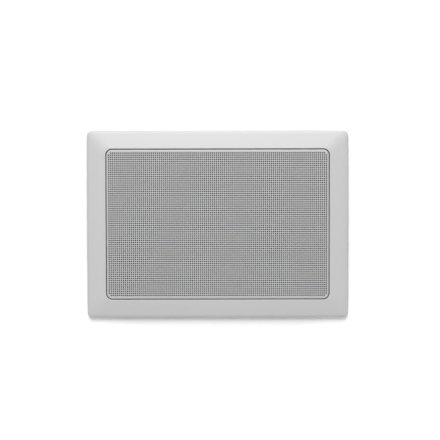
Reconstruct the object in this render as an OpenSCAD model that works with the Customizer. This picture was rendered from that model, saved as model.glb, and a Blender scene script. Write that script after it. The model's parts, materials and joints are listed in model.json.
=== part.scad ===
// Flush-mounted two-way loudspeaker for a wall cut-out: bevelled bezel, perforated grille,
// moulded baffle with clamps behind it, cone driver, dome driver and crossover.
// X is to the right, Z is up, and the front faces -Y. The wall's surface is the plane y = 0.

/* [Layout] */
// Outside diameter of the cone driver's flange, which the bezel is built round
basket_d = 165; // [150:1:190]
// Diameter of the dome driver's faceplate
faceplate_d = 64; // [60:1:72]
// Gap above and below the cone driver, to the grille's ledge
woofer_margin_y = 2; // [1:0.5:10]
// Gap at the left of the cone driver, to the grille's ledge
woofer_margin_x = 1.4; // [1:0.1:10]
// Gap between the two drivers
driver_gap = 13.5; // [10:0.5:20]
// Gap at the right of the dome driver, to the grille's ledge
tweeter_margin_x = 9.9; // [6:0.1:20]

/* [Bezel] */
// Width of the sloping border at the left and right
side_border = 22.1; // [18:0.1:30]
// Width of the sloping border above and below
end_border = 21; // [18:0.1:30]
// Height of the outer edge above the wall
edge_t = 3; // [2.6:0.2:4]
// Height of the inner rim above the wall
rim_t = 9; // [8.5:0.5:11]
// Corner radius of the outer edge
outer_r = 6; // [4:0.5:9]
// Corner radius of the slope halfway in, which sets how soft its hips are
hip_r = 9; // [7:0.5:11]
// Corner radius of the grille opening
opening_r = 7.5; // [6.5:0.5:9]
// Rounding of the outer edge
edge_round = 1.4; // [0.8:0.2:1.6]

/* [Moulding] */
// Wall of the bezel over its cored back
shell_t = 2.2; // [1.8:0.1:2.4]
// Width of the lip that lies on the wall
lip_w = 4; // [3:0.5:5]
// Wall of the collar that enters the cut-out
collar_t = 4.5; // [4:0.5:5.5]
// Depth of the baffle's front face behind the wall's surface
baffle_depth = 6; // [5.5:0.5:8]
// Thickness of the baffle
baffle_t = 3.5; // [3:0.5:4.5]
// Thickness of the stiffening ribs
rib_t = 2; // [1.6:0.2:2.6]
// Height of the stiffening ribs behind the baffle
rib_h = 5; // [3:0.5:7]
// Spacing of the ribs under the bezel
rib_pitch = 42; // [30:1:60]

/* [Grille] */
// Thickness of the perforated sheet
sheet_t = 0.8; // [0.6:0.1:1]
// Gap round the grille
grille_gap = 0.9; // [0.6:0.1:1.2]
// Depth of the grille's face behind the inner rim
grille_sink = 0.8; // [0.4:0.1:1.2]
// Depth of the grille's folded edge
fold_h = 6.5; // [5:0.5:8]
// Bend radius outside the fold
bend_r = 1.6; // [1.2:0.1:1.8]
// Pitch of the punched holes across
hole_pitch_x = 2.364; // [2.3:0.002:2.5]
// Pitch of the punched holes down
hole_pitch_y = 2.474; // [2.4:0.002:2.6]
// Diameter of a punched hole
hole_d = 1.6; // [1.2:0.1:1.7]
// Each opening of the solid stands for a block of this many holes a side
holes_a_side = 4; // [4:1:6]
// Thickness of the cloth behind the grille
scrim_t = 0.4; // [0.3:0.1:0.6]

/* [Cone driver] */
// Thickness of the basket flange
flange_t = 1.5; // [1.2:0.1:2]
// Thickness of the basket's pressed wall
basket_t = 1.2; // [1:0.1:1.5]
// Width of the flange that lies on the baffle
flange_w = 8; // [7:0.5:9]
// Depth of the cone, from its lip to its neck
cone_h = 22; // [18:0.5:23]
// Wall of the cone
cone_t = 0.8; // [0.6:0.1:1]
// Diameter of the voice coil's former
coil_d = 25.6; // [25:0.1:26]
// Wall of the former
former_t = 0.25; // [0.2:0.05:0.3]
// Height of the coil's winding
winding_h = 11; // [9:0.5:12]
// Thickness of the winding
winding_t = 0.5; // [0.4:0.05:0.6]
// Travel of the cone each way
cone_travel = 3.5; // [2:0.5:4]
// Width of the surround's half roll
roll_w = 10; // [8:0.5:11]
// Wall of the surround
surround_t = 0.7; // [0.5:0.1:0.9]
// Thickness of the front gasket ring
gasket_t = 1.5; // [1:0.1:2]
// Thickness of the spider
spider_t = 0.6; // [0.4:0.1:0.8]
// Height of the spider's corrugations
spider_wave = 1.4; // [1:0.1:1.8]
// Diameter of the front plate and the back plate
plate_d = 76; // [70:1:80]
// Thickness of those plates
plate_t = 5; // [4:0.5:6]
// Diameter of the ring magnet
magnet_d = 84; // [80:1:90]
// Thickness of the ring magnet
magnet_t = 15; // [12:0.5:18]
// Diameter of the vent through the pole
vent_d = 8; // [5:0.5:10]
// Depth of the spider's shelf behind the cone's neck
spider_drop = 4.5; // [3.5:0.5:6]
// Width of that shelf
shelf_w = 12; // [10:0.5:13]
// Depth of the basket's pot behind the shelf
pot_h = 15; // [13:0.5:18]
// Radius of the dust cap
dust_cap_r = 19; // [17:0.5:22]
// Height of the dust cap
cap_h = 7; // [5:0.5:9]

/* [Dome driver] */
// Thickness of the faceplate on the baffle
faceplate_t = 2.8; // [2:0.1:3.4]
// Diameter of the body that goes through the baffle
tweeter_body_d = 50; // [48:0.5:52]
// Diameter of the dome
dome_d = 25; // [24:0.5:26]
// Height of the dome
dome_h = 5; // [4:0.5:6]
// Step from the rim of that body in to the magnet behind it
tweeter_magnet_inset = 2.5; // [2:0.1:4]
// Thickness of that magnet
tweeter_magnet_t = 7; // [6:0.5:9]
// Thickness of its plates
tweeter_plate_t = 3; // [2.5:0.5:4]

/* [Clamps] */
// Diameter of a clamp screw
clamp_screw_d = 4.4; // [4:0.1:5]
// Length of a clamp screw under its head
clamp_screw_l = 53; // [50:1:58]
// Reach of a clamp arm past the collar
clamp_reach = 13; // [10:0.5:14]
// Width of a clamp arm
clamp_w = 12; // [10:0.5:12]
// Thickness of a clamp arm
clamp_t = 8; // [6:0.5:9]
// Radius of the arm's hub
hub_r = 7; // [6.5:0.5:7.5]
// Running clearance of shafts and pins in their holes
running = 0.05; // [0.03:0.01:0.08]
// Wall of the guide that stops an arm
guide_t = 2.4; // [2:0.1:2.8]
// Reach of a guide's gussets along the baffle
gusset_w = 6; // [4:0.5:7]
// Height of a guide's gussets
gusset_h = 16; // [8:1:24]
// Distance from the collar's end to a clamp screw
clamp_inset_x = 28.4; // [27:0.1:32]
// Gap between a clamp's hub and the collar's top
clamp_edge_gap = 7.5; // [7:0.1:10]

/* [Crossover and terminals] */
// Width of the circuit board
board_w = 74; // [70:1:76]
// Gap above and below the circuit board
board_gap = 4.7; // [3:0.1:6]
// Thickness of the circuit board
board_t = 1.6; // [1:0.2:2]
// Height of the posts that carry the board
post_h = 8; // [6:0.5:10]
// Width of the terminal block
block_w = 46; // [44:1:50]
// Height of the terminal block
block_h = 24; // [23:0.5:26]
// Depth of the terminal block
block_d = 16; // [15:0.5:18]
// Spacing of its two levers
lever_pitch = 22; // [20:0.5:24]
// Radius of a wire hole
wire_hole_r = 1.7; // [1.3:0.1:2]
// Depth of a wire hole
wire_hole_l = 9; // [7:0.5:11]

/* [Hidden] */
$fn = 48;

// Inside this file the front faces +z and y is up; placed() turns each piece into the part's frame.
module placed() rotate([90, 0, 0]) children();

fold_gap = 0.3;
ledge_t = 1.5;
ledge_inset = grille_gap + sheet_t + fold_gap;
ledge_in_w = woofer_margin_x + basket_d + driver_gap + faceplate_d + tweeter_margin_x;
ledge_in_h = basket_d + 2 * woofer_margin_y;
opening_w = ledge_in_w + 2 * (ledge_t + ledge_inset);
opening_h = ledge_in_h + 2 * (ledge_t + ledge_inset);
bezel_w = opening_w + 2 * side_border;
bezel_h = opening_h + 2 * end_border;
collar_w = opening_w + 2 * collar_t;
collar_h = opening_h + 2 * collar_t;
collar_r = opening_r + collar_t;
baffle_z = -baffle_depth;
back_z = baffle_z - baffle_t;

grille_z = rim_t - grille_sink;
grille_w = opening_w - 2 * grille_gap;
grille_h = opening_h - 2 * grille_gap;
grille_r = opening_r - grille_gap;
sheet_back_z = grille_z - sheet_t;
scrim_back_z = sheet_back_z - scrim_t;

flange_z = baffle_z + flange_t;
basket_r = basket_d / 2;
woofer_x = basket_r + woofer_margin_x - ledge_in_w / 2;
tweeter_x = ledge_in_w / 2 - tweeter_margin_x - faceplate_d / 2;
cutout_r = basket_r - flange_w;
woofer_pcd = basket_d - flange_w;
throat_r = cutout_r - 1;
roll_out_r = throat_r - 1.5;
roll_in_r = roll_out_r - roll_w;
surround_front_z = flange_z + surround_t;
gasket_z = surround_front_z + gasket_t;
gasket_in_r = roll_out_r + 2;
neck_r = coil_d / 2;
neck_z = flange_z - cone_h;
pot_r = plate_d / 2 - 4;
shelf_z = neck_z - spider_drop;
shelf_in_r = pot_r + 4;
shelf_r = shelf_in_r + shelf_w;
shelf_back_z = shelf_z - basket_t;
pot_z = shelf_z - pot_h;
plate_front_z = pot_z - basket_t;
magnet_front_z = plate_front_z - plate_t;
yoke_front_z = magnet_front_z - magnet_t;
coil_gap = 0.5;
pole_r = neck_r - former_t - coil_gap;
gap_r = neck_r + winding_t + coil_gap;
winding_mid_z = plate_front_z - plate_t / 2;
former_back_z = winding_mid_z - winding_h / 2;

driver_screw_r = 1.9;
driver_screw_l = 12;
driver_head_r = 3.6;
driver_head_h = 2.3;
boss_wall = 2.4;
screw_hole_gap = 0.3;
pilot_gap = 0.04;

tweeter_magnet_d = tweeter_body_d - 2 * tweeter_magnet_inset;
tweeter_plate_front_z = baffle_z - 3;
tweeter_magnet_front_z = tweeter_plate_front_z - tweeter_plate_t;
tweeter_yoke_front_z = tweeter_magnet_front_z - tweeter_magnet_t;
dome_r = dome_d / 2;
dome_t = 0.4;
dome_foot_r = dome_r + 4.5;
tweeter_hole_r = tweeter_body_d / 2 + 0.8;
tweeter_pitch_r = (tweeter_body_d + faceplate_d) / 4;
tweeter_coil_gap = 0.4;

clamp_y = collar_h / 2 - hub_r - clamp_edge_gap;
clamp_x = opening_w / 2 - clamp_inset_x;
arm_l = collar_h / 2 - clamp_y + clamp_reach;
arm_rest_gap = 1.5;
stake_l = 2;
screw_tip_z = baffle_z - clamp_screw_l;
arm_back_z = screw_tip_z + stake_l;
hub_extra = 3;
arm_wall = 2.2;
arm_front_z = arm_back_z + clamp_t + hub_extra;
clamp_head_r = 4.8;
clamp_head_h = 3;
guide_r = hub_r + 0.4;
guide_end_z = arm_back_z;
guide_stop_deg = 134;
guide_half = guide_stop_deg - asin(clamp_w / 2 / guide_r);

// The bays for the board and the block lie between the dome driver's rib and the clamp guides
bay_low = tweeter_hole_r + rib_t;
bay_high = clamp_y - guide_r - guide_t;
bay_mid = (bay_low + bay_high) / 2;

board_x = tweeter_x + 2;
board_y = -bay_mid;
board_h = bay_high - bay_low - 2 * board_gap;
board_z = back_z - post_h;
board_back_z = board_z - board_t;
board_screw_r = 1.4;
board_inset = 4;

block_x = tweeter_x + 3;
block_y = bay_mid;
block_back_z = back_z - block_d;
lever_w = 11.4;
lever_slot_gap = 0.3;
pin_r = 1.2;
pin_bite = 1.2;
pin_inset = 4.4;
lever_y = block_y + block_h / 2 - pin_inset;
lever_z = block_back_z + pin_inset;
lever_l = 11;
lever_t = 2.4;
wire_hole_y = block_y - block_h / 2 + 4.2;
block_screw_bite = 8;
block_pilot_l = block_screw_bite + 2;
tab_w = 4.8;
tab_t = 0.8;
tab_l = 5;
tab_depth = 5;

// Outlines and solids that several pieces use

// Rounded rectangle with true arcs
module rounded(w, h, r) {
    square([w - 2 * r, h], center = true);
    square([w, h - 2 * r], center = true);
    for (x = [-1, 1], y = [-1, 1])
        translate([x * (w / 2 - r), y * (h / 2 - r)]) circle(r = r);
}

// Prism of a rounded rectangle between two heights
module slab(w, h, r, low, high)
    translate([0, 0, low]) linear_extrude(height = high - low) rounded(w, h, r);

// Tube of rounded rectangles: w and h are its outer size
module rounded_tube(w, h, r, wall, low, high)
    translate([0, 0, low]) linear_extrude(height = high - low) difference() {
        rounded(w, h, r);
        rounded(w - 2 * wall, h - 2 * wall, max(r - wall, 0.5));
    }

corner_steps = 9;
ring_points = 4 * (corner_steps + 1);

// Points of one level of a loft: an outline drawn in by in_x and in_y, at height z, with corner radius r
function level(w, h, in_x, in_y, z, r) = [
    for (corner = [0:3], step = [0:corner_steps])
        let (a = 90 * (corner + step / corner_steps),
             sx = corner == 0 || corner == 3 ? 1 : -1,
             sy = corner < 2 ? 1 : -1)
        [sx * (w / 2 - in_x - r) + r * cos(a), sy * (h / 2 - in_y - r) + r * sin(a), z]
];

// Solid through a list of levels [in_x, in_y, z, r], from the lowest to the highest, with flat ends
module loft(w, h, levels) {
    n = ring_points;
    last = len(levels) - 1;
    points = [for (l = levels) each level(w, h, l[0], l[1], l[2], l[3])];
    sides = [for (k = [0:last - 1], i = [0:n - 1]) let (j = (i + 1) % n)
        each [[k * n + i, (k + 1) * n + i, k * n + j], [k * n + j, (k + 1) * n + i, (k + 1) * n + j]]];
    bottom = [for (i = [0:n - 1]) i];
    top = [for (i = [n - 1:-1:0]) last * n + i];
    polyhedron(points, concat([bottom, top], sides), convexity = 4);
}

// Ring or tube turned about z
module ring(outer, inner, low, high)
    translate([0, 0, low]) difference() {
        cylinder(r = outer, h = high - low);
        translate([0, 0, -1]) cylinder(r = inner, h = high - low + 2);
    }

// Pan-head screw along z: its head sits at seat_z and faces the front
module pan_screw(shank_r, length, head_r, head_h, seat_z) {
    rotate_extrude() polygon([
        [0, seat_z - length], [shank_r * 0.4, seat_z - length], [shank_r, seat_z - length + shank_r],
        [shank_r, seat_z], [head_r, seat_z], [head_r, seat_z + head_h * 0.45],
        [head_r * 0.8, seat_z + head_h * 0.85], [head_r * 0.4, seat_z + head_h], [0, seat_z + head_h]]);
}

// Cross recess that is cut into a screw's head
module cross_recess(head_r, top_z, depth)
    for (a = [0, 90])
        rotate(a) translate([-head_r * 0.55, -head_r * 0.12, top_z - depth])
            cube([head_r * 1.1, head_r * 0.24, depth + 1]);

module crossed_screw(shank_r, length, head_r, head_h, seat_z)
    difference() {
        pan_screw(shank_r, length, head_r, head_h, seat_z);
        cross_recess(head_r, seat_z + head_h, head_h * 0.5);
    }

// Places of the parts that repeat

module at_woofer() translate([woofer_x, 0, 0]) children();
module at_tweeter() translate([tweeter_x, 0, 0]) children();
module at_woofer_screws() at_woofer()
    for (a = [45:90:315]) rotate(a) translate([woofer_pcd / 2, 0, 0]) children();
module at_tweeter_screws() at_tweeter()
    for (a = [90:120:330]) rotate(a) translate([tweeter_pitch_r, 0, 0]) children();
module at_board_corners()
    for (x = [-1, 1], y = [-1, 1])
        translate([board_x + x * (board_w / 2 - board_inset), board_y + y * (board_h / 2 - board_inset), 0])
            children();
module at_block_screws()
    for (x = [-1, 1]) translate([block_x + x * (block_w / 2 - 3.5), block_y, 0]) children();

// Clamp 1 is top left, 2 top right, 3 bottom right and 4 bottom left, seen from the front
module at_clamp(i)
    rotate(i > 2 ? 180 : 0)
        translate([(i == 1 || i == 3 ? -1 : 1) * clamp_x, clamp_y, 0]) children();

// The moulded frame

// Height of the bezel's face at a share t of the way in, slightly rounder at the outside
function slope_z(t) = edge_t + (rim_t - edge_t) * t * (1.1 - 0.1 * t);
function slope_r(t) = t < 0.5
    ? outer_r + (hip_r - outer_r) * sin(180 * t)
    : opening_r + (hip_r - opening_r) * sin(180 * t);

rim_chamfer = 0.5;
slope_steps = 6;
slope_start = edge_round / end_border;
slope_end = 1 - rim_chamfer / end_border;

module bezel_block() {
    round_steps = 3;
    edge_levels = [for (s = [0:round_steps - 1]) let (a = 80 * s / round_steps, in = edge_round * (1 - cos(a)))
        [in, in, edge_t - edge_round * 0.8 + edge_round * 0.8 * sin(a), outer_r]];
    slope_levels = [for (s = [0:slope_steps])
        let (t = slope_start + (slope_end - slope_start) * s / slope_steps)
        [t * side_border, t * end_border, slope_z(t), slope_r(t)]];
    loft(bezel_w, bezel_h, concat(
        [[0, 0, 0, outer_r]],
        edge_levels,
        slope_levels,
        [[side_border + 0.6, end_border + 0.6, slope_z(1) - rim_chamfer * 1.2, opening_r]]));
}

module under_bezel() {
    inner = collar_t - 0.5;
    loft(bezel_w, bezel_h, [
        [lip_w, lip_w, -1, outer_r],
        [lip_w, lip_w, slope_z(lip_w / max(side_border, end_border)) - shell_t, outer_r],
        [side_border - inner, end_border - inner,
            slope_z(1 - inner / min(side_border, end_border)) - shell_t, opening_r]]);
}

module bezel_ribs() {
    for (i = [-floor(bezel_w / 2 / rib_pitch):floor(bezel_w / 2 / rib_pitch)])
        translate([i * rib_pitch - rib_t / 2, -bezel_h / 2 + 1, -2]) cube([rib_t, bezel_h - 2, rim_t + 2]);
    for (i = [-floor(bezel_h / 2 / rib_pitch):floor(bezel_h / 2 / rib_pitch)])
        translate([-bezel_w / 2 + 1, i * rib_pitch - rib_t / 2, -2]) cube([bezel_w - 2, rib_t, rim_t + 2]);
}

module bezel() difference() {
    bezel_block();
    slab(opening_w, opening_h, opening_r, -1, rim_t + 2);
    difference() {
        under_bezel();
        slab(collar_w, collar_h, collar_r, -2, rim_t + 2);
        bezel_ribs();
    }
}

module clamp_guide()
    rotate(315 - guide_half) translate([0, 0, guide_end_z])
        rotate_extrude(angle = 2 * guide_half)
            translate([guide_r, 0]) square([guide_t, back_z - guide_end_z + 0.5]);

// Triangular gussets that brace a guide on the baffle, a little in from its two ends
gusset_deg = 12;
module guide_gussets()
    for (a = [315 - guide_half + gusset_deg, 315 + guide_half - gusset_deg])
        rotate(a) translate([guide_r + guide_t - 0.8, rib_t / 2, back_z + 0.3]) rotate([90, 0, 0])
            linear_extrude(height = rib_t) polygon([[0, 0], [gusset_w, 0], [0, -gusset_h]]);

module baffle() {
    slab(opening_w + 1, opening_h + 1, opening_r + 0.5, back_z, baffle_z);
    rounded_tube(collar_w, collar_h, collar_r, collar_t, back_z, 1);
    rounded_tube(opening_w - 2 * ledge_inset, opening_h - 2 * ledge_inset, opening_r - ledge_inset,
        ledge_t, baffle_z - 0.5, scrim_back_z);
}

mid_rib_x = (woofer_x + cutout_r + tweeter_x - tweeter_hole_r) / 2;

module baffle_ribs() {
    low = back_z - rib_h;
    at_woofer() ring(cutout_r + rib_t, cutout_r - 1, low, back_z + 0.5);
    at_tweeter() ring(tweeter_hole_r + rib_t, tweeter_hole_r - 1, low, back_z + 0.5);
    // Straight ribs from driver to driver, to the collar's end, and across the baffle's height
    for (y = [-14, 14])
        translate([woofer_x, y - rib_t / 2, low + 0.8]) cube([tweeter_x - woofer_x, rib_t, rib_h]);
    for (y = [-9, 9])
        translate([tweeter_x, y - rib_t / 2, low + 0.8]) cube([opening_w / 2 + 1 - tweeter_x, rib_t, rib_h]);
    translate([mid_rib_x - rib_t / 2, -opening_h / 2 - 1, low + 0.4]) cube([rib_t, opening_h + 2, rib_h]);
}

module bosses() {
    at_woofer_screws() translate([0, 0, flange_z - driver_screw_l - 1])
        cylinder(r = driver_screw_r + boss_wall, h = baffle_z - flange_z + driver_screw_l + 0.5);
    at_tweeter_screws() translate([0, 0, back_z - rib_h - 1])
        cylinder(r = driver_screw_r + boss_wall - 0.6, h = rib_h + 1.5);
    at_board_corners() translate([0, 0, board_z])
        cylinder(r = board_screw_r + boss_wall, h = post_h + 0.5);
    for (i = [1:4]) at_clamp(i) {
        clamp_guide();
        guide_gussets();
    }
}

module frame_holes() {
    hole_low = min(back_z - rib_h, flange_z - driver_screw_l - 1) - 1;
    at_woofer() translate([0, 0, hole_low]) cylinder(r = cutout_r, h = baffle_z + 1 - hole_low);
    at_tweeter() translate([0, 0, hole_low]) cylinder(r = tweeter_hole_r, h = baffle_z + 1 - hole_low);
    at_woofer_screws() translate([0, 0, flange_z - driver_screw_l])
        cylinder(r = driver_screw_r + pilot_gap, h = driver_screw_l + 2);
    at_tweeter_screws() translate([0, 0, back_z - rib_h + 0.6])
        cylinder(r = driver_screw_r * 0.75 + pilot_gap, h = baffle_t + rib_h + 1);
    at_board_corners() translate([0, 0, board_z - 1])
        cylinder(r = board_screw_r + pilot_gap, h = post_h);
    at_block_screws() translate([0, 0, back_z - 1])
        cylinder(r = board_screw_r + screw_hole_gap, h = baffle_t + 2);
    for (i = [1:4]) at_clamp(i) translate([0, 0, back_z - 1])
        cylinder(r = clamp_screw_d / 2 + running, h = baffle_t + 2);
}

module frame() color("gainsboro") placed() difference() {
    union() {
        bezel();
        baffle();
        baffle_ribs();
        bosses();
    }
    frame_holes();
}

// The grille and its cloth

module grille() color("silver") placed() {
    inner_w = grille_w - 2 * bend_r;
    inner_h = grille_h - 2 * bend_r;
    inner_r = grille_r - bend_r;
    step_x = hole_pitch_x * holes_a_side;
    step_y = hole_pitch_y * holes_a_side;
    opening_d = hole_d * holes_a_side;
    across = floor((inner_w - opening_d - 1) / step_x) + 1;
    down = floor((inner_h - opening_d - 1) / step_y) + 1;
    translate([0, 0, sheet_back_z]) linear_extrude(height = sheet_t) difference() {
        rounded(inner_w, inner_h, inner_r);
        for (i = [0:across - 1], j = [0:down - 1])
            translate([(i - (across - 1) / 2) * step_x, (j - (down - 1) / 2) * step_y])
                circle(d = opening_d);
    }
    // The folded edge
    difference() {
        loft(grille_w, grille_h, concat(
            [[0, 0, grille_z - fold_h, grille_r]],
            [for (a = [0:22.5:90]) let (in = bend_r * (1 - cos(a)))
                [in, in, grille_z - bend_r + bend_r * sin(a), grille_r - in]]));
        slab(inner_w, inner_h, inner_r, sheet_back_z - 0.001, grille_z + 1);
        slab(grille_w - 2 * sheet_t, grille_h - 2 * sheet_t, grille_r - sheet_t,
            grille_z - fold_h - 1, sheet_back_z);
    }
}

module grille_scrim() color("dimgray") placed()
    slab(opening_w - 2 * ledge_inset, opening_h - 2 * ledge_inset, opening_r - ledge_inset,
        scrim_back_z, sheet_back_z);

// The cone driver

basket_windows = 4;
window_deg = 60;
window_rim = 2.5;

module woofer_basket() color("dimgray") placed() at_woofer() difference() {
    rotate_extrude() polygon([
        [basket_r, flange_z], [basket_r, baffle_z], [throat_r, baffle_z],
        [throat_r - 1, baffle_z - 3], [shelf_r, shelf_back_z], [shelf_in_r, shelf_back_z],
        [pot_r, pot_z - basket_t], [gap_r + 6, pot_z - basket_t], [gap_r + 6, pot_z],
        [pot_r - 1, pot_z], [shelf_in_r - 1, shelf_z], [shelf_r - 0.6, shelf_z],
        [throat_r - 1 - basket_t, baffle_z - 3], [roll_out_r, flange_z]]);
    for (k = [0:basket_windows - 1]) rotate(360 / basket_windows * k - window_deg / 2)
        rotate_extrude(angle = window_deg)
            translate([shelf_r + window_rim, shelf_z + window_rim])
                square([cutout_r - shelf_r, baffle_z - 6 - shelf_z - window_rim]);
    for (a = [45:90:315]) rotate(a) translate([woofer_pcd / 2, 0, baffle_z - 1])
        cylinder(r = driver_screw_r + screw_hole_gap, h = flange_t + 2);
}

module flange_holes(low, high)
    for (a = [45:90:315]) rotate(a) translate([woofer_pcd / 2, 0, low])
        cylinder(r = driver_screw_r + screw_hole_gap, h = high - low);

module woofer_gasket() color("black") placed() at_woofer() difference() {
    ring(basket_r, gasket_in_r, surround_front_z, gasket_z);
    flange_holes(surround_front_z - 1, gasket_z + 1);
}

roll_mid_r = (roll_in_r + roll_out_r) / 2;
foot_w = 3.5;

module woofer_surround() color("black") placed() at_woofer() difference() {
    rotate_extrude() difference() {
        union() {
            translate([roll_mid_r, flange_z]) circle(r = roll_w / 2 + surround_t / 2);
            translate([roll_in_r - foot_w, flange_z]) square([basket_r - 0.5 - roll_in_r + foot_w, surround_t]);
        }
        translate([roll_mid_r, flange_z]) circle(r = roll_w / 2 - surround_t / 2);
        translate([roll_mid_r - roll_w, flange_z - roll_w]) square([2 * roll_w, roll_w]);
    }
    flange_holes(flange_z - 1, surround_front_z + 1);
}

// Depth of the cone's front at radius r, a little curved
function cone_front(r) = let (t = (roll_in_r - 3 - r) / (roll_in_r - 3 - neck_r))
    flange_z - cone_h * (0.9 * t + 0.1 * t * t);

module woofer_cone() color("darkslategray") placed() at_woofer() {
    steps = 8;
    radii = [for (i = [0:steps]) roll_in_r - 3 - (roll_in_r - 3 - neck_r) * i / steps];
    rotate_extrude() polygon(concat(
        [[roll_in_r, flange_z - cone_t], [roll_in_r, flange_z]],
        [for (r = radii) [r, cone_front(r)]],
        [[neck_r, cone_front(neck_r) - 2.5], [neck_r + cone_t, cone_front(neck_r) - 2.5]],
        [for (i = [steps:-1:0]) [radii[i] + cone_t * 0.3, cone_front(radii[i]) - cone_t]]));
}

module dust_cap() color("black") placed() at_woofer() {
    ball = (dust_cap_r * dust_cap_r + cap_h * cap_h) / (2 * cap_h);
    seat = cone_front(dust_cap_r);
    rotate_extrude() intersection() {
        translate([0, seat + cap_h - ball]) difference() {
            circle(r = ball, $fn = 96);
            circle(r = ball - 0.6, $fn = 96);
        }
        translate([0, seat]) square([dust_cap_r, cap_h + 1]);
    }
}

// Corrugated disc: its foot lies on the basket's shelf and its neck round the former
module woofer_spider() color("sienna") placed() at_woofer() {
    waves = 4;
    start = neck_r + 2.5;
    finish = shelf_in_r - 1.5;
    steps = waves * 8;
    middle = shelf_z + spider_t;
    line = [for (i = [0:steps])
        [start + (finish - start) * i / steps, middle + spider_wave * sin(360 * waves * i / steps)]];
    front = concat([[neck_r, middle]], line, [[shelf_r - 2, middle]]);
    rotate_extrude() polygon(concat(front, [for (i = [len(front) - 1:-1:0]) front[i] - [0, spider_t]]));
}

module coil_former() color("peru") placed() at_woofer()
    ring(neck_r, neck_r - former_t, former_back_z - 0.5, neck_z + 1);

module coil_winding() color("orangered") placed() at_woofer()
    ring(neck_r + winding_t, neck_r, former_back_z, former_back_z + winding_h);

module woofer_top_plate() color("silver") placed() at_woofer()
    ring(plate_d / 2, gap_r, magnet_front_z, plate_front_z);

module woofer_magnet() color("black") placed() at_woofer()
    ring(magnet_d / 2, gap_r + 3.5, yoke_front_z, magnet_front_z);

module woofer_yoke() color("silver") placed() at_woofer() {
    back = yoke_front_z - plate_t;
    rotate_extrude() polygon([
        [vent_d / 2, plate_front_z], [pole_r - 0.6, plate_front_z], [pole_r, plate_front_z - 0.6],
        [pole_r, yoke_front_z], [plate_d / 2, yoke_front_z], [plate_d / 2, back + 1],
        [plate_d / 2 - 1, back], [vent_d / 2 + 1.5, back], [vent_d / 2, back + 1.5]]);
}

// Insulating strip under the basket's shelf, and the two solder tags that it carries
tag_turn = -22;
tag_step = 7;
tag_w = 3.6;
tag_t = 0.8;
tag_reach = 9;
strip_t = 1.6;
strip_edge = 2;

module tag_strip() color("saddlebrown") placed() at_woofer() rotate(tag_turn)
    translate([shelf_in_r + strip_edge, -tag_step - tag_w / 2 - strip_edge, shelf_back_z - strip_t])
        cube([shelf_w - 2 * strip_edge, 2 * tag_step + tag_w + 2 * strip_edge, strip_t]);

module woofer_tags() color("goldenrod") placed() at_woofer() rotate(tag_turn)
    for (s = [-1, 1]) translate([shelf_in_r + 2 * strip_edge, s * tag_step, shelf_back_z - strip_t - tag_t])
        linear_extrude(height = tag_t) difference() {
            union() {
                translate([0, -tag_w / 2]) square([shelf_w - 2 * strip_edge + tag_reach - tag_w / 2, tag_w]);
                translate([shelf_w - 2 * strip_edge + tag_reach - tag_w / 2, 0]) circle(d = tag_w);
            }
            translate([shelf_w - 2 * strip_edge + tag_reach - tag_w / 2, 0]) circle(d = tag_w / 2);
        }

module woofer_screws() color("dimgray") placed() at_woofer_screws()
    crossed_screw(driver_screw_r, driver_screw_l - 1 + gasket_z - flange_z, driver_head_r, driver_head_h, gasket_z);

// The dome driver

module tweeter_faceplate() color("black") placed() at_tweeter() difference() {
    rotate_extrude() polygon([
        [dome_r + 1.4, tweeter_plate_front_z + 1.2], [dome_r + 1.4, baffle_z + 0.4],
        [dome_r + 4, baffle_z + 1.8], [tweeter_body_d / 2 - 2, baffle_z + faceplate_t],
        [faceplate_d / 2 - 0.8, baffle_z + faceplate_t], [faceplate_d / 2, baffle_z + faceplate_t - 0.8],
        [faceplate_d / 2, baffle_z], [tweeter_body_d / 2, baffle_z],
        [tweeter_body_d / 2, tweeter_plate_front_z], [dome_foot_r + 0.3, tweeter_plate_front_z],
        [dome_foot_r + 0.3, tweeter_plate_front_z + 1.2]]);
    for (a = [90:120:330]) rotate(a) translate([tweeter_pitch_r, 0, baffle_z - 1])
        cylinder(r = driver_screw_r * 0.75 + screw_hole_gap, h = faceplate_t + 2);
}

module tweeter_dome() color("gray") placed() at_tweeter() {
    ball = (dome_r * dome_r + dome_h * dome_h) / (2 * dome_h);
    base = tweeter_plate_front_z + 0.6;
    rotate_extrude() {
        intersection() {
            translate([0, base + dome_h - ball]) difference() {
                circle(r = ball, $fn = 96);
                circle(r = ball - dome_t, $fn = 96);
            }
            translate([0, base]) square([dome_r, dome_h + 1]);
        }
        translate([dome_r - 0.5, tweeter_plate_front_z]) square([dome_foot_r - dome_r + 0.5, 0.7]);
        translate([dome_r - 0.3, tweeter_plate_front_z - tweeter_plate_t + 0.5])
            square([0.3, tweeter_plate_t]);
    }
}

module tweeter_top_plate() color("silver") placed() at_tweeter()
    ring(tweeter_magnet_d / 2 - 1.5, dome_r + tweeter_coil_gap, tweeter_magnet_front_z, tweeter_plate_front_z);

module tweeter_magnet() color("black") placed() at_tweeter()
    ring(tweeter_magnet_d / 2, dome_r + 2.5, tweeter_yoke_front_z, tweeter_magnet_front_z);

module tweeter_yoke() color("silver") placed() at_tweeter() {
    back = tweeter_yoke_front_z - tweeter_plate_t;
    pole = dome_r - 0.3 - tweeter_coil_gap;
    rotate_extrude() polygon([
        [0, tweeter_plate_front_z], [pole, tweeter_plate_front_z], [pole, tweeter_yoke_front_z],
        [tweeter_magnet_d / 2 - 1.5, tweeter_yoke_front_z], [tweeter_magnet_d / 2 - 1.5, back + 0.8],
        [tweeter_magnet_d / 2 - 2.3, back], [0, back]]);
}

tweeter_tag_x = 7;
tweeter_tag_l = 9.5;
tweeter_tag_gap = 0.3;

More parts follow.
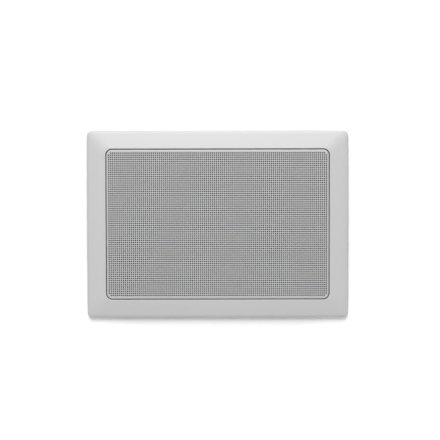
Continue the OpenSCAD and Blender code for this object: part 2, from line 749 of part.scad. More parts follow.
module tweeter_tags() color("goldenrod") placed() at_tweeter()
    for (s = [-1, 1]) translate([s * tweeter_tag_x, -tweeter_magnet_d / 2 - tweeter_tag_gap, tweeter_plate_front_z])
        rotate([90, 0, 0]) linear_extrude(height = tag_t) difference() {
            union() {
                translate([-tag_w / 2, tag_w / 2 - tweeter_tag_l]) square([tag_w, tweeter_tag_l - tag_w / 2]);
                translate([0, tag_w / 2 - tweeter_tag_l]) circle(d = tag_w);
            }
            translate([0, tag_w / 2 - tweeter_tag_l]) circle(d = tag_w / 2);
        }

module tweeter_screws() color("dimgray") placed() at_tweeter_screws()
    crossed_screw(driver_screw_r * 0.75, faceplate_t + baffle_t + rib_h - 1.4, driver_head_r * 0.8, 2,
        baffle_z + faceplate_t);

// The crossover

module crossover_board() color("darkgreen") placed() difference() {
    translate([board_x - board_w / 2, board_y - board_h / 2, board_back_z]) cube([board_w, board_h, board_t]);
    at_board_corners() translate([0, 0, board_back_z - 1])
        cylinder(r = board_screw_r + screw_hole_gap, h = board_t + 2);
}

module board_screws() color("silver") placed() at_board_corners()
    rotate([180, 0, 0]) crossed_screw(board_screw_r, board_t + post_h - 3, 2.6, 1.8, -board_back_z);

coil_x = board_x - board_w / 2 + 18;
coil_r = 12;
coil_h = 13;

module inductor_bobbin() color("ivory") placed() translate([coil_x, board_y, board_back_z - coil_h])
    rotate_extrude() polygon([
        [3.2, 0], [coil_r, 0], [coil_r, 1.2], [5, 1.2], [5, coil_h - 1.2], [coil_r, coil_h - 1.2],
        [coil_r, coil_h], [3.2, coil_h]]);

module inductor_winding() color("orangered") placed() translate([coil_x, board_y, 0])
    ring(coil_r - 1, 5, board_back_z - coil_h + 1.2, board_back_z - 1.2);

cap_r = 6.5;
cap_l = 27;
cap_x = board_x + 14;
cap_y = board_y + 7;

// Axial capacitor: a rolled can with a crimped groove near one end and its two leads bent to the board
module capacitor() color("royalblue") placed() translate([cap_x, cap_y, board_back_z - cap_r]) {
    rotate([0, 90, 0]) rotate_extrude() polygon([
        [0, -cap_l / 2], [cap_r - 0.8, -cap_l / 2], [cap_r, -cap_l / 2 + 0.8],
        [cap_r, cap_l / 2 - 4], [cap_r - 0.6, cap_l / 2 - 3.2], [cap_r, cap_l / 2 - 2.4],
        [cap_r, cap_l / 2 - 0.8], [cap_r - 0.8, cap_l / 2], [0, cap_l / 2]]);
    for (s = [-1, 1]) {
        translate([s * (cap_l / 2 + 1), 0, 0]) rotate([0, 90, 0]) cylinder(r = 0.4, h = 2.8, center = true);
        translate([s * (cap_l / 2 + 2), 0, -0.4]) cylinder(r = 0.4, h = cap_r + 0.4);
    }
}

res_l = 22;
res_w = 9;
res_x = board_x + 14;
res_y = board_y - 7.5;

module resistor() color("whitesmoke") placed() {
    translate([res_x - res_l / 2, res_y - res_w / 2, board_back_z - res_w]) cube([res_l, res_w, res_w]);
    for (s = [-1, 1]) {
        translate([res_x + s * (res_l / 2 + 1), res_y, board_back_z - res_w / 2])
            rotate([0, 90, 0]) cylinder(r = 0.4, h = 2.8, center = true);
        translate([res_x + s * (res_l / 2 + 2), res_y, board_back_z - res_w / 2 - 0.4])
            cylinder(r = 0.4, h = res_w / 2 + 0.4);
    }
}

// The terminal block and its levers

slot_w = lever_w + 2 * lever_slot_gap;
slot_low_y = lever_y - lever_l - 1;

module block_slot()
    translate([-slot_w / 2, slot_low_y, lever_z + 3.2 - 12])
        cube([slot_w, block_y + block_h / 2 - slot_low_y + 1, 12]);

module terminal_block() color("black") placed() difference() {
    translate([block_x - block_w / 2, block_y - block_h / 2, block_back_z]) cube([block_w, block_h, block_d]);
    for (s = [-1, 1]) translate([block_x + s * lever_pitch / 2, 0, 0]) {
        block_slot();
        translate([-slot_w / 2 - pin_bite - 0.2, lever_y, lever_z]) rotate([0, 90, 0])
            cylinder(r = pin_r + running, h = slot_w + 2 * pin_bite + 0.4);
        translate([0, wire_hole_y, block_back_z - 1]) cylinder(r = wire_hole_r, h = wire_hole_l + 1);
    }
    at_block_screws() translate([0, 0, back_z - block_pilot_l])
        cylinder(r = board_screw_r + pilot_gap, h = block_pilot_l + 1);
}

module terminal_block_screws() color("silver") placed() at_block_screws()
    crossed_screw(board_screw_r, baffle_t + block_screw_bite, 2.6, 1.8, baffle_z);

module terminal_tabs() color("goldenrod") placed()
    for (s = [-1, 1])
        translate([block_x + s * lever_pitch / 2 - tab_w / 2, block_y - block_h / 2 - tab_l, back_z - tab_depth])
            cube([tab_w, tab_l, tab_t]);

// Side s is -1 for the negative lever and 1 for the positive one
module lever(s) placed() translate([block_x + s * lever_pitch / 2, lever_y, lever_z]) {
    rotate([90, 0, 90]) translate([0, 0, -lever_w / 2]) linear_extrude(height = lever_w) {
        circle(r = pin_r + 1.2);
        polygon([[0, -pin_r - 1.2], [0, pin_r + 0.2], [-lever_l, -2.6], [-lever_l, -2.6 - lever_t],
            [-lever_l + 2, -3.4 - lever_t]]);
    }
    rotate([0, 90, 0]) cylinder(r = pin_r, h = slot_w + 2 * pin_bite, center = true);
}

module lever_positive() color("firebrick") lever(1);
module lever_negative() color("black") lever(-1);

// The clamps

module clamp_screw(i) color("goldenrod") placed() at_clamp(i) {
    difference() {
        union() {
            pan_screw(clamp_screw_d / 2, clamp_screw_l, clamp_head_r, clamp_head_h, baffle_z);
            translate([0, 0, screw_tip_z]) cylinder(r = clamp_screw_d / 2 + 1, h = stake_l - 0.3);
        }
        cross_recess(clamp_head_r, baffle_z + clamp_head_h, clamp_head_h * 0.6);
    }
}

// Arm at rest: it points to -x of its clamp, and its gripping face is towards the front
module clamp_arm(i) color("black") placed() at_clamp(i) difference() {
    union() {
        translate([0, 0, arm_back_z]) cylinder(r = hub_r, h = clamp_t + hub_extra);
        translate([-arm_l, -clamp_w / 2, arm_front_z - clamp_t]) cube([arm_l, clamp_w, clamp_t]);
    }
    translate([0, 0, arm_back_z - 1]) cylinder(r = clamp_screw_d / 2 + running, h = clamp_t + hub_extra + 2);
    // Grooves across the gripping end
    for (k = [0:3]) translate([-arm_l + 1.5 + 3 * k, -clamp_w / 2 - 1, arm_front_z - 0.8])
        cube([1.5, clamp_w + 2, 2]);
    // Hollow underside
    translate([-arm_l + 2.5, -clamp_w / 2 + arm_wall, arm_front_z - clamp_t - 1])
        cube([arm_l - hub_r - 4, clamp_w - 2 * arm_wall, clamp_t - 2]);
}

frame();
grille();
grille_scrim();
woofer_basket();
woofer_gasket();
woofer_surround();
woofer_cone();
dust_cap();
woofer_spider();
coil_former();
coil_winding();
woofer_top_plate();
woofer_magnet();
woofer_yoke();
tag_strip();
woofer_tags();
woofer_screws();
tweeter_faceplate();
tweeter_dome();
tweeter_top_plate();
tweeter_magnet();
tweeter_yoke();
tweeter_tags();
tweeter_screws();
crossover_board();
board_screws();
inductor_bobbin();
inductor_winding();
capacitor();
resistor();
terminal_block();
terminal_block_screws();
terminal_tabs();
lever_positive();
lever_negative();
clamp_screw(1);  // clamp_screw_1
clamp_screw(2);  // clamp_screw_2
clamp_screw(3);  // clamp_screw_3
clamp_screw(4);  // clamp_screw_4
clamp_arm(1);  // clamp_arm_1
clamp_arm(2);  // clamp_arm_2
clamp_arm(3);  // clamp_arm_3
clamp_arm(4);  // clamp_arm_4
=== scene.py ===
"""Looks of the in-wall loudspeaker: camera, light, materials, the fine perforated grille and its cloth."""
import json
import math

import bpy
import numpy as np
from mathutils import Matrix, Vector


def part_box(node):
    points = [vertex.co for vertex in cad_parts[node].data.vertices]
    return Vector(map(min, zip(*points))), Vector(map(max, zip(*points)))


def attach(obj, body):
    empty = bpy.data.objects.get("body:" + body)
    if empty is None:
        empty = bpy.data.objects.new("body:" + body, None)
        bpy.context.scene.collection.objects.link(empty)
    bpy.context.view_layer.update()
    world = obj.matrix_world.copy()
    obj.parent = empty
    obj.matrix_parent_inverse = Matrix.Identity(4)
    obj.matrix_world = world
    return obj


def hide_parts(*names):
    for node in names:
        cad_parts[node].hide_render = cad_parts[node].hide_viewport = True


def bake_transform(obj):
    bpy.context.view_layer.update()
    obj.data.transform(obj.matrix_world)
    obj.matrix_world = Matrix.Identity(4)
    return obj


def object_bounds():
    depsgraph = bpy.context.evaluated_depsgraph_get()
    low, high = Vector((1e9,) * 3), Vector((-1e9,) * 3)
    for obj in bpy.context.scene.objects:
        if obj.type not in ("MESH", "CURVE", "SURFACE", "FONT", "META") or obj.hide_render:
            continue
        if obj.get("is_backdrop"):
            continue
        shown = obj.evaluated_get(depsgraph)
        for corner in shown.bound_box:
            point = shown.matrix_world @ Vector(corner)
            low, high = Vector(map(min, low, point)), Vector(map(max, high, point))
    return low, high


MM = 0.001
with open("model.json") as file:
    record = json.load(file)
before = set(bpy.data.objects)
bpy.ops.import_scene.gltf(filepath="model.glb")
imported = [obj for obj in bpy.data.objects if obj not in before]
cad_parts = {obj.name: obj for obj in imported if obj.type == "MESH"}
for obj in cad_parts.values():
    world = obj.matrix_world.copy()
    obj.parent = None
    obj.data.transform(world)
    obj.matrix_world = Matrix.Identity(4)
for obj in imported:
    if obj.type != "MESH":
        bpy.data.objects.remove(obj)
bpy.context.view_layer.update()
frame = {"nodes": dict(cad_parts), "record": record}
nodes = frame["nodes"]

# Camera: level with the loudspeaker and a little above its middle, as in the photograph
DISTANCE = 1.43
ELEVATION = math.radians(2.3)
AIM = Vector((2.8, 0.0, 4.7)) * MM

camera_data = bpy.data.cameras.new("camera")
camera_data.lens = 100
camera_data.sensor_width = 36
camera_data.clip_start = 0.05
camera_data.clip_end = 20
camera = bpy.data.objects.new("camera", camera_data)
bpy.context.scene.collection.objects.link(camera)
camera.location = AIM + DISTANCE * Vector((0, -math.cos(ELEVATION), math.sin(ELEVATION)))
camera.rotation_euler = (math.radians(90) - ELEVATION, math.radians(0.1), 0)
bpy.context.scene.camera = camera
bpy.context.scene.view_settings.view_transform = "Standard"


# Materials

def new_material(name):
    m = bpy.data.materials.new(name)
    m.use_nodes = True
    tree = m.node_tree
    shader = tree.nodes["Principled BSDF"]
    place = tree.nodes.new("ShaderNodeTexCoord")
    return m, tree, shader, place.outputs["Object"]


def noise(tree, place, scale, detail=2.0, stretch=None):
    n = tree.nodes.new("ShaderNodeTexNoise")
    n.inputs["Scale"].default_value = scale
    n.inputs["Detail"].default_value = detail
    if stretch:
        mapping = tree.nodes.new("ShaderNodeMapping")
        mapping.inputs["Scale"].default_value = stretch
        tree.links.new(place, mapping.inputs["Vector"])
        place = mapping.outputs["Vector"]
    tree.links.new(place, n.inputs["Vector"])
    return n.outputs["Fac"]


def spread(tree, value, low, high):
    r = tree.nodes.new("ShaderNodeMapRange")
    r.inputs["To Min"].default_value = low
    r.inputs["To Max"].default_value = high
    tree.links.new(value, r.inputs["Value"])
    return r.outputs["Result"]


def vary_colour(tree, shader, value, colour, amount):
    mix = tree.nodes.new("ShaderNodeMix")
    mix.data_type = "RGBA"
    dark = [c * (1 - amount) for c in colour]
    light = [min(1.0, c * (1 + amount)) for c in colour]
    mix.inputs["A"].default_value = (*dark, 1)
    mix.inputs["B"].default_value = (*light, 1)
    tree.links.new(value, mix.inputs["Factor"])
    tree.links.new(mix.outputs["Result"], shader.inputs["Base Color"])


def bump(tree, shader, value, depth, strength=1.0):
    b = tree.nodes.new("ShaderNodeBump")
    b.inputs["Strength"].default_value = strength
    b.inputs["Distance"].default_value = depth
    tree.links.new(value, b.inputs["Height"])
    tree.links.new(b.outputs["Normal"], shader.inputs["Normal"])


def solid(name, colour, rough, metallic=0.0, grain=2500, depth=0.00001, mottle=0.04, coat=0.0,
          specular=0.5, stretch=None, sheen=0.0):
    m, tree, shader, place = new_material(name)
    fine = noise(tree, place, grain, 2.0, stretch)
    broad = noise(tree, place, grain * 0.02, 3.0)
    vary_colour(tree, shader, broad, colour, mottle)
    tree.links.new(spread(tree, broad, rough * 0.88, min(1.0, rough * 1.12)), shader.inputs["Roughness"])
    shader.inputs["Metallic"].default_value = metallic
    shader.inputs["Specular IOR Level"].default_value = specular
    shader.inputs["Coat Weight"].default_value = coat
    shader.inputs["Sheen Weight"].default_value = sheen
    bump(tree, shader, fine, depth)
    return m


def woven(name, colour, rough, pitch, depth):
    """Plain weave: two crossed sets of threads."""
    m, tree, shader, place = new_material(name)
    waves = []
    for direction in ("X", "Z"):
        w = tree.nodes.new("ShaderNodeTexWave")
        w.bands_direction = direction
        w.inputs["Scale"].default_value = math.pi / 10 / pitch
        w.inputs["Distortion"].default_value = 0.3
        tree.links.new(place, w.inputs["Vector"])
        waves.append(w.outputs["Fac"])
    both = tree.nodes.new("ShaderNodeMath")
    both.operation = "MULTIPLY"
    tree.links.new(waves[0], both.inputs[0])
    tree.links.new(waves[1], both.inputs[1])
    vary_colour(tree, shader, both.outputs["Value"], colour, 0.35)
    shader.inputs["Roughness"].default_value = rough
    shader.inputs["Sheen Weight"].default_value = 0.2
    bump(tree, shader, both.outputs["Value"], depth)
    return m


# Maker, slot, colour, roughness and the rest of its detail, in metres
FINISHES = (
    (solid, "bezel_plastic", (0.76, 0.76, 0.76), 0.48, dict(grain=3500, depth=6e-6, mottle=0.012)),
    (solid, "grille_paint", (0.66, 0.66, 0.66), 0.42, dict(grain=4500, depth=8e-6, mottle=0.02)),
    (woven, "scrim_cloth", (0.05, 0.05, 0.052), 0.9, dict(pitch=6e-4, depth=8e-5)),
    (solid, "basket_paint", (0.018, 0.018, 0.02), 0.38,
     dict(grain=2500, depth=1.2e-5, mottle=0.15)),
    (solid, "gasket_foam", (0.022, 0.022, 0.022), 0.85, dict(grain=3500, depth=6e-5, mottle=0.3)),
    (solid, "surround_rubber", (0.016, 0.016, 0.017), 0.55,
     dict(grain=1800, depth=1e-5, mottle=0.2)),
    (solid, "cone_plastic", (0.035, 0.035, 0.038), 0.45, dict(grain=1500, depth=2e-5, mottle=0.2)),
    (solid, "cap_plastic", (0.025, 0.025, 0.027), 0.22,
     dict(grain=1200, depth=4e-6, mottle=0.1, coat=0.2)),
    (woven, "spider_cloth", (0.42, 0.27, 0.1), 0.8, dict(pitch=5e-4, depth=5e-5)),
    (solid, "former_film", (0.36, 0.16, 0.04), 0.3,
     dict(grain=900, depth=4e-6, mottle=0.12, coat=0.3)),
    (solid, "copper_wire", (0.78, 0.3, 0.13), 0.32,
     dict(metallic=0.9, grain=1600, depth=6e-5, mottle=0.12, stretch=(0.05, 1.0, 0.05))),
    (solid, "plated_steel", (0.52, 0.53, 0.55), 0.33,
     dict(metallic=1.0, grain=1500, depth=1e-5, mottle=0.12)),
    (solid, "ferrite", (0.05, 0.05, 0.055), 0.55, dict(grain=1800, depth=3e-5, mottle=0.25)),
    (solid, "black_screw", (0.06, 0.06, 0.065), 0.35,
     dict(metallic=0.9, grain=2500, depth=1e-5, mottle=0.2)),
    (solid, "driver_plastic", (0.02, 0.02, 0.022), 0.45,
     dict(grain=3000, depth=1e-5, mottle=0.15)),
    (woven, "dome_cloth", (0.06, 0.06, 0.065), 0.6, dict(pitch=3e-4, depth=3e-5)),
    (solid, "board_laminate", (0.012, 0.1, 0.035), 0.3,
     dict(grain=900, depth=6e-6, mottle=0.25, coat=0.3)),
    (solid, "bright_screw", (0.6, 0.61, 0.63), 0.28,
     dict(metallic=1.0, grain=2500, depth=8e-6, mottle=0.08)),
    (solid, "bobbin_plastic", (0.62, 0.58, 0.45), 0.5, dict(grain=1800, depth=1e-5, mottle=0.05)),
    (solid, "capacitor_sleeve", (0.02, 0.06, 0.28), 0.25,
     dict(grain=1200, depth=8e-6, mottle=0.1, coat=0.4)),
    (solid, "resistor_ceramic", (0.72, 0.7, 0.64), 0.75,
     dict(grain=2200, depth=3e-5, mottle=0.06)),
    (solid, "tab_brass", (0.78, 0.56, 0.24), 0.3,
     dict(metallic=1.0, grain=1800, depth=1e-5, mottle=0.1)),
    (solid, "lever_red", (0.42, 0.008, 0.008), 0.3,
     dict(grain=2500, depth=6e-6, mottle=0.08, coat=0.2)),
    (solid, "lever_black", (0.012, 0.012, 0.013), 0.3,
     dict(grain=2500, depth=6e-6, mottle=0.15, coat=0.2)),
    (solid, "zinc_screw", (0.7, 0.56, 0.28), 0.3,
     dict(metallic=1.0, grain=1800, depth=1e-5, mottle=0.18)),
    (solid, "strip_laminate", (0.22, 0.11, 0.045), 0.5, dict(grain=1600, depth=1e-5, mottle=0.2)),
    (solid, "clamp_plastic", (0.02, 0.02, 0.022), 0.5, dict(grain=1800, depth=2e-5, mottle=0.2)),
)
MATERIALS = {slot: make(slot, colour, rough, **more) for make, slot, colour, rough, more in FINISHES}

slots = {part["node"]: part["material_slot"] for part in frame["record"]["subparts"]}
for name, node in nodes.items():
    node.data.materials.clear()
    node.data.materials.append(MATERIALS[slots[name]])

# The bezel's slopes and soft hips are shaded as one smooth surface
moulding = nodes["frame"]
moulding.data.polygons.foreach_set("use_smooth", [True] * len(moulding.data.polygons))
weld = moulding.modifiers.new("weld", "WELD")
weld.merge_threshold = 0.002 * MM
split = moulding.modifiers.new("split", "EDGE_SPLIT")
split.split_angle = math.radians(24)


def new_object(name, points, faces, material, smooth=True):
    """A mesh object of points and faces in metres."""
    mesh = bpy.data.meshes.new(name)
    mesh.from_pydata(points, [], faces)
    mesh.polygons.foreach_set("use_smooth", [smooth] * len(mesh.polygons))
    mesh.materials.append(material)
    made = bpy.data.objects.new(name, mesh)
    bpy.context.scene.collection.objects.link(made)
    return made


# The perforated sheet, bent over its folded edge

# Sizes in mm: the holes' pitch and radius, the sheet's thickness and its outer bend
PITCH_X = 2.364
PITCH_Y = 2.474
HOLE_R = 0.9
SHEET_T = 0.8
BEND_R = 1.6
EDGE_MARGIN = 0.3
low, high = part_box("grille")
HALF_W = (high.x - low.x) / 2 / MM - BEND_R
HALF_H = (high.z - low.z) / 2 / MM - BEND_R
CORNER_R = 5.0
FACE_Y = low.y / MM
FOLD_H = (high.y - low.y) / MM
BEND_L = BEND_R * math.pi / 2
REACH = BEND_L + FOLD_H - BEND_R


def bent(u, v, inset):
    """Place on the folded sheet of a point (u, v) of the flat one, at a depth under its outer face."""
    qx, qy = np.abs(u) - (HALF_W - CORNER_R), np.abs(v) - (HALF_H - CORNER_R)
    px, py = np.maximum(qx, 0), np.maximum(qy, 0)
    length = np.hypot(px, py)
    safe = np.maximum(length, 1e-9)
    inside = np.minimum(np.maximum(qx, qy), 0)
    d = length + inside - CORNER_R
    nx = np.where(length > 0, px / safe, (qx > qy) * 1.0) * np.sign(u)
    ny = np.where(length > 0, py / safe, (qx <= qy) * 1.0) * np.sign(v)
    out = np.maximum(d, 0)
    angle = np.minimum(out / BEND_R, math.pi / 2)
    down = np.maximum(out - BEND_L, 0)
    shift = BEND_R * np.sin(angle) - out - inset * np.sin(angle)
    x = u + nx * shift
    z = v + ny * shift
    y = FACE_Y + BEND_R * (1 - np.cos(angle)) + down + inset * np.cos(angle)
    return np.stack([x, y, z], -1) * MM, d


def perforated(side):
    """Half of the sheet, side -1 for the left one and 1 for the right one."""
    columns = int((HALF_W + REACH - EDGE_MARGIN) / PITCH_X)
    rows = int((HALF_H + REACH - EDGE_MARGIN) / PITCH_Y) * 2
    uv, face_list, rim = [], [], []
    index = {}

    def corner(i, j):
        if (i, j) not in index:
            index[i, j] = len(uv)
            uv.append((i * PITCH_X / 6, j * PITCH_Y / 6))
            rim.append(0)
        return index[i, j]

    for i in range(columns):
        for j in range(rows):
            a = side * (6 * i + 3)
            b = 6 * j + 3 - 3 * rows
            cu, cv = a * PITCH_X / 6, b * PITCH_Y / 6
            far = bent(np.array([(a + s) * PITCH_X / 6 for s in (-3, 3)]),
                       np.array([(b + (3 if b > 0 else -3)) * PITCH_Y / 6] * 2), 0)[1].max()
            if far > REACH:
                continue
            if far > 0:
                # The bend and the folded edge are plain
                for p in (-3, -1, 1):
                    for q in (-3, -1, 1):
                        face_list.append((corner(a + p, b + q), corner(a + p + 2, b + q),
                                          corner(a + p + 2, b + q + 2), corner(a + p, b + q + 2)))
                continue
            holes = []
            for k in range(8):
                t = math.pi / 8 + k * math.pi / 4
                holes.append(len(uv))
                uv.append((cu + HOLE_R * math.cos(t), cv + HOLE_R * math.sin(t)))
                rim.append(1)
            c = [corner(a + 3, b + 3), corner(a - 3, b + 3), corner(a - 3, b - 3), corner(a + 3, b - 3)]
            for k in range(4):
                face_list.append((c[k], holes[2 * k + 1], holes[2 * k]))
                face_list.append((c[k], c[(k + 1) % 4], holes[(2 * k + 2) % 8], holes[2 * k + 1]))
    uv = np.array(uv)
    n = len(uv)
    top, past = bent(uv[:, 0], uv[:, 1], 0.0)
    back, _ = bent(uv[:, 0], uv[:, 1], SHEET_T)
    count = {}
    oriented = []
    for f in face_list:
        p = uv[list(f)]
        area = sum(p[i - 1][0] * p[i][1] - p[i][0] * p[i - 1][1] for i in range(len(f)))
        f = f if area > 0 else f[::-1]
        oriented.append(f)
        for i in range(len(f)):
            count[f[i - 1], f[i]] = 1
    faces = list(oriented) + [tuple(x + n for x in f[::-1]) for f in oriented]
    for a, b in count:
        if (b, a) not in count and (rim[a] and rim[b] or min(past[a], past[b]) > BEND_L):
            faces.append((b, a, a + n, b + n))
    piece = new_object("grille_left" if side < 0 else "grille_right", np.vstack([top, back]).tolist(), faces,
                       MATERIALS["grille_paint"])
    mesh = piece.data
    rim = np.array(rim + rim, bool)
    layer = np.arange(2 * n) >= n
    ends = np.zeros(len(mesh.edges) * 2, np.int32)
    mesh.edges.foreach_get("vertices", ends)
    ends = ends.reshape(-1, 2)
    sharp = mesh.attributes.new("sharp_edge", "BOOLEAN", "EDGE")
    both = rim[ends[:, 0]] & rim[ends[:, 1]] & (layer[ends[:, 0]] == layer[ends[:, 1]])
    sharp.data.foreach_set("value", both)
    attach(piece, "housing")
    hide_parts("grille")


for side in (-1, 1):
    perforated(side)


# The acoustic cloth, glued flat to the ledge behind the grille

def scrim():
    low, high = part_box("grille_scrim")
    half_w, half_h = (high.x - low.x) / 2, (high.z - low.z) / 2
    corner_r = 5.3 * MM
    across, down = 128, 86
    x, z = np.meshgrid(np.linspace(-half_w, half_w, across + 1), np.linspace(-half_h, half_h, down + 1))
    px, pz = np.maximum(np.abs(x) - half_w + corner_r, 0), np.maximum(np.abs(z) - half_h + corner_r, 0)
    pull = np.minimum(1, corner_r / np.maximum(np.hypot(px, pz), 1e-9))
    inner_x, inner_z = np.minimum(np.abs(x), half_w - corner_r), np.minimum(np.abs(z), half_h - corner_r)
    x = np.sign(x) * (inner_x + px * pull)
    z = np.sign(z) * (inner_z + pz * pull)
    edge = np.minimum(half_w - np.abs(x), half_h - np.abs(z))
    slack = np.clip((edge - 4 * MM) / (12 * MM), 0, 1)
    y = low.y + 0.05 * MM + slack * 0.06 * MM * (1 + np.sin(x / 0.017 + 2 * np.sin(z / 0.03)))
    centre = (low + high) / 2
    points = np.stack([x + centre.x, y, z + centre.z], -1).reshape(-1, 3)
    n = across + 1
    faces = [(j * n + i, j * n + i + 1, (j + 1) * n + i + 1, (j + 1) * n + i)
             for j in range(down) for i in range(across)]
    piece = new_object("scrim_sheet", points.tolist(), faces, MATERIALS["scrim_cloth"])
    thick = piece.modifiers.new("thickness", "SOLIDIFY")
    thick.thickness = 0.2 * MM
    thick.offset = -1
    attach(piece, "housing")
    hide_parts("grille_scrim")


scrim()


# Soft parts of the drivers, between the basket and the cone: turned sheets, cut in sectors

SECTORS = 18
SECTOR_STEPS = 8


def turned(name, node, outline, first, last, steps):
    """Surface of the outline (r, y) in mm, turned about the middle of a node from one angle to another."""
    low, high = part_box(node)
    centre = (low + high) / 2
    outline = np.array(outline) * MM
    angle = np.linspace(first, last, steps + 1)
    r, y = outline[:, 0], outline[:, 1]
    ring = np.stack([centre.x + np.outer(np.cos(angle), r), np.tile(y, (steps + 1, 1)),
                     centre.z + np.outer(np.sin(angle), r)], -1)
    n = len(outline)
    faces = [(k * n + i, k * n + (i + 1) % n, (k + 1) * n + (i + 1) % n, (k + 1) * n + i)
             for k in range(steps) for i in range(n)]
    piece = new_object(name, ring.reshape(-1, 3).tolist(), faces, MATERIALS[slots[node]])
    return piece, centre


def flexing(node, outline):
    """Sectors of a turned sheet, each its own piece in place of the node."""
    half = math.pi / SECTORS
    for k in range(SECTORS):
        middle = 2 * half * k
        piece, centre = turned(f"{node}_{k + 1:02d}", node, outline, middle - half, middle + half, SECTOR_STEPS)
        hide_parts(node)
        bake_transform(piece)


def arc(r, y, radius, first, last, steps):
    """Points (r, y) of an arc that bulges towards the room."""
    return [(r + radius * math.cos(t), y - radius * math.sin(t)) for t in np.linspace(first, last, steps + 1)]


ROLL_R, ROLL_Y = 67, 4.5
ROLL_OUTSIDE, ROLL_INSIDE = 5.35, 4.65


def surround():
    """Rubber half roll between two flat feet."""
    outside = arc(ROLL_R, ROLL_Y, ROLL_OUTSIDE, math.radians(172), math.radians(8), 24)
    inside = arc(ROLL_R, ROLL_Y, ROLL_INSIDE, 0, math.pi, 20)
    outline = ([(58.5, 4.45), (58.5, 3.86), (58.58, 3.8), (60.9, 3.8), (61.4, 3.76)] + outside
               + [(72.6, 3.76), (73.1, 3.8), (81.9, 3.8), (82, 3.86), (82, 4.5)] + inside)
    flexing("woofer_surround", outline)


SPIDER_Y, SPIDER_T = 31.0, 0.3
WAVES, WAVE_H, WAVE_STEPS = 4, 1.4, 48
WAVES_FROM, WAVES_WIDE = 15.3, 21.2


def spider():
    """Corrugated cloth disc between the voice coil and the basket's shelf."""
    line = [(12.85, SPIDER_Y), (14.6, SPIDER_Y)]
    for i in range(WAVE_STEPS + 1):
        line.append((WAVES_FROM + WAVES_WIDE * i / WAVE_STEPS,
                     SPIDER_Y - WAVE_H * math.sin(2 * math.pi * WAVES * i / WAVE_STEPS) - 0.3))
    line += [(37.4, SPIDER_Y), (47.95, SPIDER_Y)]
    outline = [(r, y - SPIDER_T) for r, y in line] + line[::-1]
    flexing("woofer_spider", outline)


SCREW_CIRCLE_R = 79
GASKET_SWELL = 0.3


def gasket():
    """Foam ring that swells a little between the four screws."""
    outline = [(74.1, 3.8), (74.0, 3.6), (74.0, 2.75), (74.12, 2.42), (74.5, 2.3), (75.6, 2.3),
               (77.2, 2.3), (78.8, 2.3), (80.4, 2.3), (81.9, 2.3), (82.33, 2.42), (82.48, 2.75),
               (82.48, 3.6), (82.4, 3.8)]
    piece, centre = turned("gasket_ring", "woofer_gasket", outline, 0, 2 * math.pi, 360)
    co = np.zeros(len(piece.data.vertices) * 3)
    piece.data.vertices.foreach_get("co", co)
    co = co.reshape(-1, 3)
    x, z = (co[:, 0] - centre.x) / MM, (co[:, 2] - centre.z) / MM
    r, angle = np.hypot(x, z), np.arctan2(z, x)
    near = np.abs(angle % (math.pi / 2) - math.pi / 4) * SCREW_CIRCLE_R
    crown = np.clip((near - 4.5) / 7, 0, 1)
    crown = crown * crown * (3 - 2 * crown) * np.clip(1 - ((r - 78.25) / 4.2) ** 2, 0, 1)
    lumps = 0.04 * (np.sin(angle * 53 + np.sin(angle * 17)) + np.sin(angle * 91 + r))
    co[:, 1] -= crown * (GASKET_SWELL + lumps) * (co[:, 1] < 0.003) * MM
    piece.data.vertices.foreach_set("co", co.ravel())
    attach(piece, "housing")
    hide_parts("woofer_gasket")


DOME_R, DOME_H, DOME_TOP, DOME_T = 12, 5, 3.4, 0.4


def dome():
    """Silk dome with the small roll at its foot."""
    ball = (DOME_R * DOME_R + DOME_H * DOME_H) / (2 * DOME_H)
    radii = [DOME_R * i / 20 for i in range(21)]
    cap = [(r, DOME_TOP + ball - math.sqrt(ball * ball - r ** 2)) for r in radii]
    roll = arc(12.95, 8.4, 0.75, math.radians(172), math.radians(8), 10)
    front = cap + roll + [(13.9, 8.35), (17, 8.35)]
    front[0] = (0.001, DOME_TOP)
    outline = front + [(r, y + DOME_T) for r, y in front[::-1]]
    piece, _ = turned("silk_dome", "tweeter_dome", outline, 0, 2 * math.pi, 120)
    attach(piece, "housing")
    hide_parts("tweeter_dome")


surround()
spider()
gasket()
dome()


# Stage: the wall that the loudspeaker lies on, and a pale room

def sees_background(tree):
    """1 for the rays that show the background: the camera's, and those of gloss and glass."""
    path = tree.nodes.new("ShaderNodeLightPath")
    value = path.outputs["Is Camera Ray"]
    for kind in ("Is Glossy Ray", "Is Transmission Ray"):
        either = tree.nodes.new("ShaderNodeMath")
        either.operation = "MAXIMUM"
        tree.links.new(value, either.inputs[0])
        tree.links.new(path.outputs[kind], either.inputs[1])
        value = either.outputs["Value"]
    return value


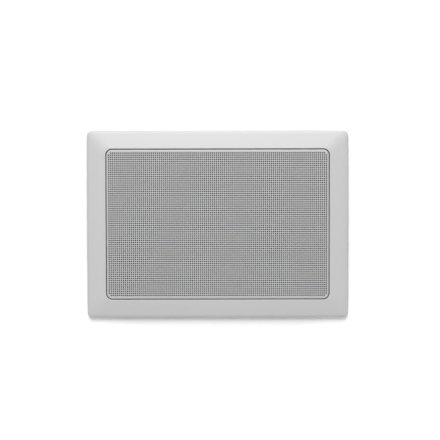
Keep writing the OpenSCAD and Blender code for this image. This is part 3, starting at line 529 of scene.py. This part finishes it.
def wall_material():
    m = bpy.data.materials.new("wall")
    m.use_nodes = True
    tree = m.node_tree
    tree.nodes.clear()
    out = tree.nodes.new("ShaderNodeOutputMaterial")
    geometry = tree.nodes.new("ShaderNodeNewGeometry")
    diffuse = tree.nodes.new("ShaderNodeBsdfDiffuse")
    diffuse.inputs["Color"].default_value = (0.82, 0.82, 0.82, 1)
    lit = tree.nodes.new("ShaderNodeBsdfDiffuse")
    # Painted light: the wall's colour for camera and gloss rays grows from 1.38 near the loudspeaker's middle
    # to 2.05 far from it, so the wall is painted brighter where the lamps light it less and stays darker close
    # to the part.
    away = tree.nodes.new("ShaderNodeVectorMath")
    away.operation = "LENGTH"
    tree.links.new(geometry.outputs["Position"], away.inputs[0])
    painted_light_away = tree.nodes.new("ShaderNodeMapRange")
    painted_light_away.inputs["From Min"].default_value = 0.15
    painted_light_away.inputs["From Max"].default_value = 0.28
    painted_light_away.inputs["To Min"].default_value = 1.38
    painted_light_away.inputs["To Max"].default_value = 2.05
    tree.links.new(away.outputs["Value"], painted_light_away.inputs["Value"])
    tree.links.new(painted_light_away.outputs["Result"], lit.inputs["Color"])
    seen = tree.nodes.new("ShaderNodeMixShader")
    tree.links.new(sees_background(tree), seen.inputs[0])
    tree.links.new(diffuse.outputs[0], seen.inputs[1])
    tree.links.new(lit.outputs[0], seen.inputs[2])
    clear = tree.nodes.new("ShaderNodeBsdfTransparent")
    side = tree.nodes.new("ShaderNodeMixShader")
    tree.links.new(geometry.outputs["Backfacing"], side.inputs[0])
    tree.links.new(seen.outputs[0], side.inputs[1])
    tree.links.new(clear.outputs[0], side.inputs[2])
    tree.links.new(side.outputs[0], out.inputs["Surface"])
    return m


WALL_Y = 0.003
WALL_HALF_W, WALL_HALF_H = 1.2, 0.9
new_object("wall", [(-WALL_HALF_W, WALL_Y, -WALL_HALF_H), (WALL_HALF_W, WALL_Y, -WALL_HALF_H),
                             (WALL_HALF_W, WALL_Y, WALL_HALF_H), (-WALL_HALF_W, WALL_Y, WALL_HALF_H)],
                    [(0, 1, 2, 3)], wall_material(), smooth=False)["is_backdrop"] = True

world = bpy.data.worlds.new("room")
bpy.context.scene.world = world
world.use_nodes = True
tree = world.node_tree
tree.nodes.clear()
out = tree.nodes.new("ShaderNodeOutputWorld")
ambient = tree.nodes.new("ShaderNodeBackground")
ambient.inputs["Color"].default_value = (1, 1, 1, 1)
ambient.inputs["Strength"].default_value = 0.15
paper = tree.nodes.new("ShaderNodeBackground")
paper.inputs["Color"].default_value = (1, 1, 1, 1)
paper.inputs["Strength"].default_value = 1.0
mix = tree.nodes.new("ShaderNodeMixShader")
tree.links.new(sees_background(tree), mix.inputs[0])
tree.links.new(ambient.outputs[0], mix.inputs[1])
tree.links.new(paper.outputs[0], mix.inputs[2])
tree.links.new(mix.outputs[0], out.inputs["Surface"])


def area_lamp(name, place, target, size, power):
    data = bpy.data.lights.new(name, "AREA")
    data.shape = "DISK"
    data.size = size
    data.energy = power
    lamp = bpy.data.objects.new(name, data)
    bpy.context.scene.collection.objects.link(lamp)
    lamp.location = place
    lamp.rotation_euler = (Vector(target) - Vector(place)).to_track_quat("-Z", "Y").to_euler()
    lamp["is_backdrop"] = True


area_lamp("key", (-0.1, -1.6, 1.6), (0, 0, 0), 1.9, 35.5)
area_lamp("top", (0, -0.85, 1.5), (0, 0, 0), 0.8, 4.5)
area_lamp("low", (0, -1.0, -1.3), (0, 0, 0), 1.0, 6.5)
area_lamp("rear", (-0.8, 1.6, 1.0), (0, 0.04, 0), 1.0, 12)

low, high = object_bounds()
